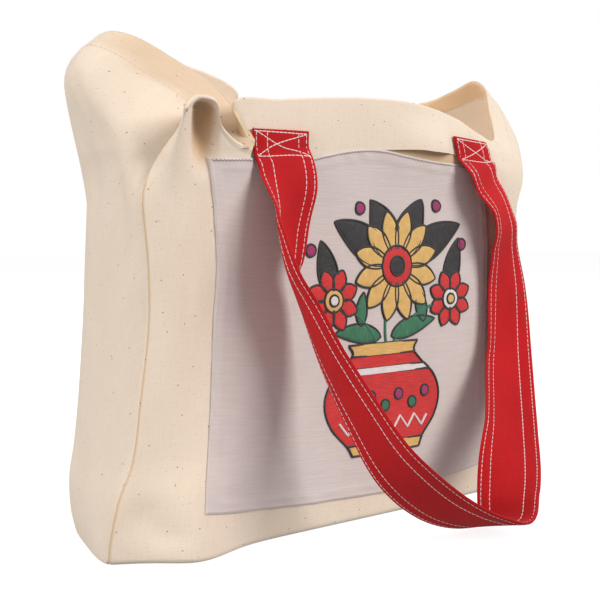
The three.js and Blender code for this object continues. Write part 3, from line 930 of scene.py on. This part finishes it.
RIM_COLUMN = 0.006
RIM_SHARE = 0.009
patch_columns = spread((PATCH_FIRST, PATCH_FIRST + RIM_COLUMN, 5),
                       (PATCH_FIRST + RIM_COLUMN, PATCH_LAST - RIM_COLUMN, 140),
                       (PATCH_LAST - RIM_COLUMN, PATCH_LAST, 5))
patch_shares = spread((0, RIM_SHARE, 5), (RIM_SHARE, 1 - RIM_SHARE, 130), (1 - RIM_SHARE, 1, 5))[:, None]
points, normals = patch_point(patch_columns, patch_shares)
back_z = patch_height(patch_columns, patch_shares)
back_points, back_normals = skin(front_turn(patch_columns, back_z), back_z)
uv = pairs(arc_lengths(points, 1), arc_lengths(points, 0))
patch_cloth = new_wall("patch_cloth", points, back_points + back_normals * PATCH_GAP / 2, linen, uv)
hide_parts("pocket_patch")


# Stitches: short flattened capsules, all of a seam in one piece. Each kind has a length and a radius.

STITCH_RINGS = table(["along", "radius"], [[-0.5, 0.3], [-0.38, 0.85], [0.0, 1.0], [0.38, 0.85], [0.5, 0.3]])
STITCH_SIDES = 6
STITCH_FLAT = 0.75
PATCH_STITCH = 2.0, 0.36
TOP_STITCH = 2.0, 0.3
HEM_STITCH = 2.8, 0.28
STRAP_STITCH = 3.5, 0.42
PATCH_PITCH = 3.0
TOP_PITCH = 1.5
TOP_SWING = 0.9
TOP_IN = 0.6
HEM_PITCH = 4.0
HEM_STITCH_DOWN = 10.5
SEAM_POINTS = 200
HEM_POINTS = 400


def stitches(name, centres, ways, outs, length, radius, material, slot):
    """A row of stitches at centres, along ways and on the side of outs."""
    ways, outs = unit(ways), unit(outs)
    sideways = unit(np.cross(outs, ways))
    angle = np.arange(STITCH_SIDES) * 2 * math.pi / STITCH_SIDES
    rings = len(STITCH_RINGS["along"])
    along = np.repeat(STITCH_RINGS["along"], STITCH_SIDES) * length
    out = np.repeat(STITCH_RINGS["radius"], STITCH_SIDES) * radius
    around = np.tile(np.cos(angle), rings) * out
    height = np.tile(np.sin(angle), rings) * out * STITCH_FLAT
    points = (centres[:, None] + ways[:, None] * along[:, None] + sideways[:, None] * around[:, None]
              + outs[:, None] * height[:, None])
    ring = np.arange(STITCH_SIDES)
    near = np.arange(rings - 1)[:, None] * STITCH_SIDES + ring
    near_next = np.roll(near, -1, 1)
    quads = np.stack([near, near_next, near_next + STITCH_SIDES, near + STITCH_SIDES], -1).reshape(-1, 4)
    last = (rings - 1) * STITCH_SIDES
    starts = np.arange(len(points))[:, None] * rings * STITCH_SIDES
    faces = (quads + starts[..., None]).reshape(-1, 4).tolist()
    faces += (ring[::-1] + starts).tolist()
    faces += (ring + last + starts).tolist()
    uv = np.broadcast_to(pairs(along, around), (*points.shape[:2], 2))
    return new_piece(name, points, faces, material, uv)


def even_run(points, pitch):
    """Places along a line of points, one for each pitch, as numbers of the points."""
    lengths = arc_lengths(points, 0)
    places = np.arange(pitch / 2, lengths[-1], pitch)
    return np.interp(places, lengths, np.arange(len(points)))


def line_at(values, places):
    """Values of a line of points between its points."""
    k = np.clip(np.floor(places).astype(int), 0, len(values) - 2)
    w = (places - k)[:, None]
    return values[k] * (1 - w) + values[k + 1] * w


def stitch_line(points, outs, pitch):
    """Centres, ways and outward directions of stitches along a line of points."""
    places = even_run(points, pitch)
    ways = np.gradient(points, axis=0)
    return line_at(points, places), line_at(ways, places), line_at(outs, places)


def join_lines(lines):
    """Several lines of stitches as one."""
    return [np.concatenate(part) for part in zip(*lines)]


def zigzag(centres, ways, outs):
    """Stitches turned to and fro across their line."""
    sideways = unit(np.cross(outs, ways))
    side = np.where(np.arange(len(ways)) % 2, TOP_SWING, -TOP_SWING)[:, None]
    return centres, unit(ways) + sideways * side, outs


inset_x = PATCH_STITCH_IN / PATCH_WIDTH * PATCH_SPAN
inset_z = PATCH_STITCH_IN / (BAND_Z - PATCH_BOTTOM)
run = np.linspace(0, 1, SEAM_POINTS)
column_run = PATCH_FIRST + inset_x + (PATCH_SPAN - 2 * inset_x) * run
share_run = inset_z + (1 - 2 * inset_z) * run
edges = [(column_run, inset_z), (PATCH_FIRST + inset_x, share_run), (PATCH_LAST - inset_x, share_run)]
lines = [stitch_line(*patch_point(column, share), PATCH_PITCH) for column, share in edges]
patch_stitches = stitches("patch_stitches", *join_lines(lines), *PATCH_STITCH, linen_thread, "linen")
top_line = stitch_line(*patch_point(column_run, 1 - inset_z * TOP_IN), TOP_PITCH)
top_stitches = stitches("top_stitches", *zigzag(*top_line), *TOP_STITCH, seam_thread, "linen")

SIDE_RUNS = [("right_stitches", 1.04, 1.96), ("back_stitches", 2.02, 2.98), ("left_stitches", 3.04, 3.96)]
for name, first_turn, last_turn in SIDE_RUNS:
    turns = np.linspace(first_turn, last_turn, HEM_POINTS)
    line = stitch_line(*skin(turns, rim_at(turns)[:, 2] - HEM_STITCH_DOWN), HEM_PITCH)
    stitches(name, *line, *HEM_STITCH, calico_thread, "calico")


# Handles

STRAP_FINE = 2000
RUN_STEP = 0.5
STRAP_STEPS = 260
STRAP_POINTS = 29
END_SKEW = 11.0
SKEW_RUN = 60
EDGE_POWER = 26
EDGE_SPREAD = 1.25
STITCH_PLACES = [-0.88, -0.60, 0.50, 0.88]
GROOVE = 0.35
GROOVE_HALF = 0.035
LINE_POINTS = 900
LINE_ENDS = 1.5, 2
STRAP_PITCH = 4.0
BOX = 21.0
BOX_ENDS = 2.0, 2.5
BOX_SLANT = 7.0
BOX_SHARE = 0.9
BOX_PITCH = 3.6
BOX_LINES = [(0, 1), (2, 3), (0, 2), (1, 3)]
BOX_POINTS = 60
HALVINGS = 30


def turn_at(x, z, low, high):
    """Turns at which a side's surface reaches places across the bag, found by halving."""
    start, end = np.full(x.shape, low), np.full(x.shape, high)
    rising = skin_point(end, z)[..., 0] > skin_point(start, z)[..., 0]
    for _ in range(HALVINGS):
        middle = (start + end) / 2
        short = (skin_point(middle, z)[..., 0] < x) == rising
        start, end = np.where(short, middle, start), np.where(short, end, middle)
    return (start + end) / 2


class Strap:
    """A flat handle along its stations, lying on its panel at both sewn ends."""

    def __init__(self, rows, panel_from, panel_to, end_skew):
        last = len(rows["x"]) - 1
        self.end_skew = end_skew
        self.stations = {**rows, "place": np.arange(last + 1)}
        self.pieces = curve_pieces(np.stack([rows[name].astype(float) for name in "xyz"], -1), False)
        self.panel = panel_from, panel_to
        fine = np.linspace(0, last, STRAP_FINE)
        self.places = even_run(curve_at(self.pieces, fine)[0], RUN_STEP) * last / (STRAP_FINE - 1)
        self.length = len(self.places) * RUN_STEP

    def surface(self, run, share, side):
        """Points at runs along the handle and shares across it, on one face, with that face's direction."""
        run, share = np.broadcast_arrays(run, share)
        run = run - self.end_skew * (1 + share) / 2 * smooth_step(run, self.length - SKEW_RUN, self.length)
        place = np.interp(run / RUN_STEP, np.arange(len(self.places)), self.places)
        turn, lean, curl = (np.radians(smooth_column(self.stations, "place", name, place))
                            for name in ("turn", "lean", "curl"))
        sewn = np.clip(smooth_column(self.stations, "place", "sewn", place), 0, 1)
        centre, along = curve_at(self.pieces, place)
        along = unit(along)

        def direction_at(angle):
            across = np.stack([np.cos(angle) * np.cos(lean), np.sin(angle) * np.cos(lean), np.sin(lean)], -1)
            return unit(across - along * np.sum(across * along, -1, keepdims=True))

        face = np.cross(direction_at(turn + curl * share), along)
        chord = np.sinc(curl * share / (2 * math.pi))
        middle = centre + direction_at(turn + curl * share / 2) * (chord * share * STRAP_WIDTH / 2)[..., None]
        edge = np.sqrt(np.clip(1 - np.abs(share) ** EDGE_POWER, 0, 1))
        dips = sum(np.exp(-((share - p) / GROOVE_HALF) ** 2) for p in STITCH_PLACES)
        thick = (STRAP_THICK / 2 - GROOVE * dips) * edge
        point = middle + face * (side * thick)[..., None]
        seat_turn = turn_at(middle[..., 0], middle[..., 2], *self.panel)
        seat = skin_point(seat_turn, middle[..., 2])
        seat_normal = skin_normal(seat_turn, middle[..., 2])
        lift = STRAP_GAP + HEM_THICK + STRAP_THICK / 2 + side * thick
        seat = seat + seat_normal * lift[..., None]
        point = point + (seat - point) * sewn[..., None]
        direction = unit(face * (1 - sewn)[..., None] + seat_normal * sewn[..., None])
        return point, direction * side

    def cloth(self, name):
        """The handle's cloth."""
        run = np.linspace(0, self.length - RUN_STEP, STRAP_STEPS)[:, None]
        angle = np.linspace(-1, 1, STRAP_POINTS)
        share = np.sign(angle) * (1 - (1 - np.abs(angle)) ** EDGE_SPREAD)
        front, behind = (self.surface(run, share, side)[0] for side in (1, -1))
        return new_wall(name, front, behind, red_cotton, pairs(share * STRAP_WIDTH / 2, run))

    def topstitching(self, name, ends):
        """White stitch lines on both faces, and crossed boxes on the face that shows at both ends."""
        run = np.linspace(LINE_ENDS[0], self.length - LINE_ENDS[1], LINE_POINTS)
        lines = []
        for side in (1, -1):
            for share in STITCH_PLACES:
                lines.append(stitch_line(*self.surface(run, share, side), STRAP_PITCH))
        for near, far, slant in ends:
            corners = [(-BOX_SHARE, near), (BOX_SHARE, near), (BOX_SHARE, far - slant), (-BOX_SHARE, far)]
            for a, b in BOX_LINES:
                share, along = np.linspace(corners[a], corners[b], BOX_POINTS).T
                lines.append(stitch_line(*self.surface(along, share, 1), BOX_PITCH))
        return stitches(name, *join_lines(lines), *STRAP_STITCH, white_thread, "white_thread")


def sewn_handle(name, strap):
    """A handle with its topstitching, hanging from a panel."""
    cloth = strap.cloth(name + "_cloth")
    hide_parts(name)
    first_end, last_end = BOX_ENDS[0], strap.length - BOX_ENDS[1]
    boxes = [(first_end, first_end + BOX, BOX_SLANT), (last_end, last_end - BOX, 0)]
    seams = strap.topstitching(name + "_stitches", boxes)


sewn_handle("front_strap", Strap(FRONT_STRAP, HANDLE_EDGE, 1.0 - SHORT, END_SKEW))
sewn_handle("back_strap", Strap(BACK_STRAP, 2.0, 3.0 - SHORT, 0.0))


# Embroidery on the patch: a vase of flowers in satin stitch with corded outlines

BAND_POINTS = 9
PETAL_WIDTH = 2.4
PETAL_POWER = 0.75
PETAL_TAPER = 1.5
CENTRE_SHARE = 0.36
SPOT_SHARE = 0.17
CORD_HALF = 0.9
FILL_HEIGHT = 0.7
CORD_HEIGHT = 1.0
UNDER = -0.1
TIP = 0.1
LEAF_POINTS = 26


def on_patch(x, z, lift):
    """Points at places of the patch, lifted off it."""
    low = np.minimum(z, NECK_Z)
    left, right = (smooth_column(BODY, "z", name, low) for name in ("patch_left", "patch_right"))
    column = PATCH_FIRST + (x - left) / (right - left) * PATCH_SPAN
    bottom, top = patch_edge(column, "bottom"), patch_edge(column, "top")
    point, normal = patch_point(column, (z - bottom) / (top - bottom))
    return point + normal * lift[..., None]


class Embroidery:
    """Bands of thread, gathered by colour, each sewn over a spine on the patch."""

    def __init__(self):
        self.parts = {}

    def band(self, colour, spine, half, layer=0.0, height=FILL_HEIGHT):
        """A domed band of thread along a spine, reaching half its width to each side. Gives its outline."""
        spine = np.asarray(spine, float)
        way = unit(np.gradient(spine, axis=0))
        side = np.stack([-way[:, 1], way[:, 0]], -1)
        share = np.linspace(-1, 1, BAND_POINTS)
        half = np.broadcast_to(half, len(spine))
        place = spine[:, None] + side[:, None] * (half[:, None] * share)[..., None]
        crown = np.sqrt(np.clip(1 - share ** 4, 0, 1)) * height
        rise = layer + np.broadcast_to(crown, place.shape[:2])
        upper = on_patch(place[..., 0], place[..., 1], rise)
        under = on_patch(place[..., 0], place[..., 1], np.full(place.shape[:2], UNDER))
        made, faces = wall(under, upper)
        uv = pairs(arc_lengths(spine, 0)[:, None], half[:, None] * share)
        self.parts.setdefault(colour, []).append((made, faces, np.concatenate([uv.reshape(-1, 2)] * 2)))
        return np.concatenate([spine + side * half[:, None], (spine - side * half[:, None])[::-1]])

    def cord(self, colour, points, layer=0.0, half=CORD_HALF):
        """A cord of thread along a line."""
        self.band(colour, points, half, layer, CORD_HEIGHT)

    def outlined(self, colour, spine, half, layer=0.0):
        """A filled shape with a black cord round it."""
        line = self.band(colour, spine, half, layer)
        self.cord("black", np.concatenate([line, line[:1]]), layer)

    def leaf(self, colour, x, z, heading, length, width, bend=0.0, taper=0.8, layer=0.0):
        """A leaf or petal from its foot, pointed at both ends and bent sideways."""
        t = np.linspace(0, 1, LEAF_POINTS)
        angle = math.radians(heading)
        along = np.array([math.cos(angle), math.sin(angle)])
        sideways = np.array([-along[1], along[0]])
        spine = np.array([x, z]) + np.outer(t * length, along) + np.outer(bend * t * t, sideways)
        self.outlined(colour, spine, TIP + width / 2 * np.sin(math.pi * t ** taper) ** 0.8, layer)

    def disc(self, colour, x, z, radius, layer=0.0):
        """A round spot."""
        t = np.linspace(-1, 1, LEAF_POINTS)
        self.outlined(colour, pairs(x + t * radius, z), TIP + radius * np.sqrt(1 - t * t), layer)

    def flower(self, x, z, radius, petals, petal_colour, centre_colour, spot_colour):
        """A flower of pointed petals round a centre."""
        for k in range(petals):
            heading = 360 * (k + 0.5) / petals
            width = PETAL_WIDTH * radius / petals ** PETAL_POWER
            self.leaf(petal_colour, x, z, heading, radius, width, taper=PETAL_TAPER, layer=0.35)
        self.disc(centre_colour, x, z, radius * CENTRE_SHARE, layer=0.9)
        self.disc(spot_colour, x, z, radius * SPOT_SHARE, layer=1.5)

    def finish(self, threads):
        """One piece for each colour."""
        made_pieces = []
        for colour, parts in self.parts.items():
            points, faces, uv = zip(*parts)
            starts = np.cumsum([0] + [len(made) for made in points[:-1]])
            faces = np.concatenate([np.array(each) + start for each, start in zip(faces, starts)]).tolist()
            points, uv = np.concatenate(points), np.concatenate(uv)
            name = "embroidery_" + colour
            made_pieces.append(new_piece(name, points, faces, threads[colour], uv))
        return made_pieces


def bow(start, end, bend, count=30):
    """A bent line between two places."""
    t = np.linspace(0, 1, count)[:, None]
    start, end = np.array(start, float), np.array(end, float)
    sideways = np.array([start[1] - end[1], end[0] - start[0]]) / np.linalg.norm(end - start)
    return start + (end - start) * t + sideways * bend * 4 * t * (1 - t)


sewn = Embroidery()
VASE_X = 26
SPOT_RADIUS = 4.4
BUD_RADIUS = 4.6
STEM_HALF = 1.4
VASE = table(["z", "half"], [
    [52, 36], [59, 40], [76, 56], [94, 62], [110, 56], [123, 41], [132, 33], [139, 37]])

# The vase and its bands: colour, lower and upper edge, rows and layer
VASE_BANDS = [
    ["red", 52, 139, 60, 0.0],
    ["ochre", 52, 60, 10, 0.5],
    ["white", 115, 120, 10, 0.5],
    ["ochre", 130, 139, 10, 0.5],
]
for colour, low, high, rows, layer in VASE_BANDS:
    level = np.linspace(low, high, rows)
    sewn.outlined(colour, pairs(VASE_X, level), smooth_column(VASE, "z", "half", level), layer)


def to_and_fro(count, pitch, z, swing):
    """Places across the vase, by turns above and below a height."""
    return [[VASE_X + pitch * (k - count // 2), z + swing * (-1) ** k] for k in range(count)]


for k, (x, z) in enumerate(to_and_fro(7, 15, 93, 4)):
    sewn.disc("green" if k % 2 else "magenta", x, z, SPOT_RADIUS, layer=0.6)
teeth = to_and_fro(13, 8, 74, 5)
sewn.cord("white", np.concatenate([bow(a, b, 0, 6)[:-1] for a, b in zip(teeth, teeth[1:])]), layer=0.6)

STEMS = [((18, 139), (-24, 172), -6), ((28, 139), (42, 190), 6), ((36, 139), (98, 168), 8)]
for start, end, bend in STEMS:
    sewn.cord("green", bow(start, end, bend), half=STEM_HALF)

# Leaves: colour, place of the foot, heading, length, width and bend
LEAVES = [
    ["black", 36, 204, 106, 53, 30, 10],
    ["black", 44, 204, 72, 54, 30, -8],
    ["black", 30, 202, 140, 64, 27, 10],
    ["black", 52, 202, 36, 66, 27, -10],
    ["black", -28, 178, 96, 44, 19, 6],
    ["black", 100, 176, 84, 46, 18, -6],
    ["green", 22, 144, 164, 46, 15, 8],
    ["green", 34, 144, 20, 50, 15, -6],
    ["green", 70, 154, 96, 28, 12, 4],
    ["green", 2, 154, 92, 26, 11, -4],
]
for row in LEAVES:
    sewn.leaf(*row)
sewn.flower(40, 200, 45, 12, "ochre", "red", "black")
sewn.flower(-26, 175, 25, 8, "red", "ochre", "white")
sewn.flower(101, 171, 24, 8, "red", "white", "ochre")
BUDS = [(0, 246), (84, 248), (114, 216), (-48, 214)]
for x, z in BUDS:
    sewn.disc("magenta", x, z, BUD_RADIUS, layer=0.2)
embroidery = sewn.finish({
    "black": thread("black_thread", (0.035, 0.033, 0.035), (0.006, 0.006, 0.007)),
    "ochre": thread("ochre_thread", (0.78, 0.50, 0.17), (0.62, 0.37, 0.10)),
    "red": thread("red_thread", (0.70, 0.022, 0.022), (0.50, 0.012, 0.014)),
    "white": thread("pale_thread", (0.84, 0.80, 0.80), (0.66, 0.61, 0.61)),
    "green": thread("green_thread", (0.04, 0.22, 0.11), (0.02, 0.12, 0.06)),
    "magenta": thread("magenta_thread", (0.42, 0.03, 0.16), (0.28, 0.02, 0.10)),
})


# Floor, backdrop, lights and camera

def stage_mesh(name, shell, colour, glow):
    """A part of the studio that lights nothing: a plain surface with a glow of its own."""
    mesh = bpy.data.meshes.new(name)
    shell.to_mesh(mesh)
    shell.free()
    material, tree, shader = new_material(name)
    fill(tree, shader, {"Base Color": (colour, colour, colour, 1), "Roughness": 1.0, "Specular IOR Level": 0,
                        "Emission Color": (1, 1, 1, 1), "Emission Strength": glow})
    mesh.materials.append(material)
    made = bpy.data.objects.new(name, mesh)
    made.visible_diffuse = False
    made.visible_glossy = False
    made.visible_transmission = False
    made.visible_shadow = False
    bpy.context.scene.collection.objects.link(made)


FLOOR_REACH = 5.0
BACKDROP_RADIUS = 8.0
floor_shell = bmesh.new()
bmesh.ops.create_grid(floor_shell, x_segments=1, y_segments=1, size=FLOOR_REACH)
stage_mesh("floor", floor_shell, 0.30, 0.88)
backdrop_shell = bmesh.new()
bmesh.ops.create_uvsphere(backdrop_shell, u_segments=48, v_segments=24, radius=BACKDROP_RADIUS)
stage_mesh("backdrop", backdrop_shell, 0.0, 1.0)

SKY_STRENGTH = 0.33
world = bpy.data.worlds.new("studio")
bpy.context.scene.world = world
world.use_nodes = True
fill(world.node_tree, world.node_tree.nodes["Background"], {"Color": (1, 1, 1, 1), "Strength": SKY_STRENGTH})

# Lights: name, place, aim, size, power and colour
MIDDLE = (0, 0, 0.16)
LIGHTS = [
    ["key", (1.0, -2.0, 1.5), MIDDLE, 1.3, 55, (1.0, 0.97, 0.94)],
    ["left fill", (-2.2, -0.1, 0.65), MIDDLE, 2.0, 35, (1.0, 0.97, 0.95)],
    ["back fill", (0.7, 2.2, 1.2), MIDDLE, 1.6, 18, (1.0, 0.98, 0.96)],
    ["top fill", (0.1, 0.1, 2.0), MIDDLE, 1.6, 8, (1.0, 0.99, 0.97)],
    ["through the cloth", (0.0, 0.0, 0.16), (0.12, 0.02, 0.34), 0.06, 0.14, (1.0, 0.96, 0.92)],
]
for name, place, aim, size, power, colour in LIGHTS:
    lamp = bpy.data.lights.new(name, "AREA")
    lamp.size = size
    lamp.energy = power
    lamp.color = colour
    light = bpy.data.objects.new(name, lamp)
    light.location = place
    light.rotation_euler = (Vector(aim) - Vector(place)).to_track_quat("-Z", "Y").to_euler()
    bpy.context.scene.collection.objects.link(light)

CAMERA_PLACE = (-0.5821, -0.7368, 0.243)
CAMERA_YAW = 37.5
CAMERA_PITCH = 4.376
CAMERA_LENS = 69
CAMERA_SENSOR = 36
camera_data = bpy.data.cameras.new("camera")
camera_data.lens = CAMERA_LENS
camera_data.sensor_width = CAMERA_SENSOR
camera = bpy.data.objects.new("camera", camera_data)
camera.location = CAMERA_PLACE
camera.rotation_euler = Euler((math.radians(90 - CAMERA_PITCH), 0, math.radians(-CAMERA_YAW)))
bpy.context.scene.collection.objects.link(camera)
bpy.context.scene.camera = camera
bpy.context.scene.view_settings.view_transform = "Standard"
